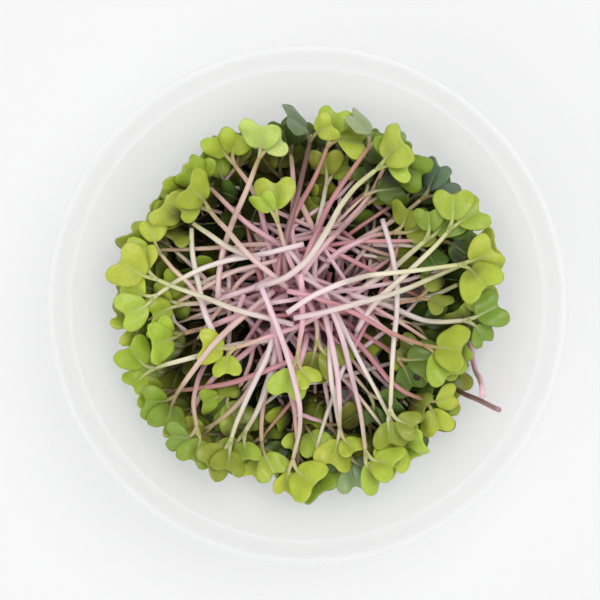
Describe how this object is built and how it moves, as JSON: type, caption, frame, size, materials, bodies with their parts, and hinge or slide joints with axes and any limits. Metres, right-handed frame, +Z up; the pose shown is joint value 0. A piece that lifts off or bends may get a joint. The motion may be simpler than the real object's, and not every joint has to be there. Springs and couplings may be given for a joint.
{
  "type": "radish microgreens in a round tub",
  "caption": "Cut radish microgreens heaped in a round translucent plastic tub: pale pink stems cross at the middle and notched green seed leaves ring the heap.",
  "frame": {"origin": "on the tub's axis, in the plane that the tub stands on", "axes": "+Z up along the tub's axis, out of its open top; +X and +Y lie in the plane that it stands on"},
  "size_m": [0.15, 0.15, 0.054],
  "materials": {
    "tub_plastic": "satin",
    "deep_greens": "satin",
    "top_greens": "satin"
  },
  "bodies": {
    "root": {"tub": "tub_plastic", "bunch_1": "deep_greens", "bunch_2": "deep_greens", "bunch_3": "deep_greens", "bunch_4": "deep_greens", "bunch_5": "deep_greens", "bunch_6": "deep_greens", "bunch_7": "deep_greens", "bunch_8": "deep_greens", "shoot_1": "top_greens", "shoot_2": "top_greens", "shoot_3": "top_greens", "shoot_4": "top_greens", "shoot_5": "top_greens", "shoot_6": "top_greens", "shoot_7": "top_greens", "shoot_8": "top_greens", "shoot_9": "top_greens", "shoot_10": "top_greens", "shoot_11": "top_greens", "shoot_12": "top_greens", "shoot_13": "top_greens", "shoot_14": "top_greens", "shoot_15": "top_greens", "shoot_16": "top_greens", "shoot_17": "top_greens", "shoot_18": "top_greens", "shoot_19": "top_greens", "shoot_20": "top_greens", "shoot_21": "top_greens", "shoot_22": "top_greens", "shoot_23": "top_greens", "shoot_24": "top_greens", "shoot_25": "top_greens", "shoot_26": "top_greens", "shoot_27": "top_greens", "shoot_28": "top_greens", "shoot_29": "top_greens", "shoot_30": "top_greens", "shoot_31": "top_greens", "shoot_32": "top_greens", "shoot_33": "top_greens", "shoot_34": "top_greens", "shoot_35": "top_greens", "shoot_36": "top_greens", "shoot_37": "top_greens", "shoot_38": "top_greens", "shoot_39": "top_greens", "shoot_40": "top_greens", "shoot_41": "top_greens", "shoot_42": "top_greens", "shoot_43": "top_greens", "shoot_44": "top_greens", "shoot_45": "top_greens", "shoot_46": "top_greens", "shoot_47": "top_greens", "shoot_48": "top_greens", "shoot_49": "top_greens", "shoot_50": "top_greens", "shoot_51": "top_greens"}
  },
  "joints": []
}
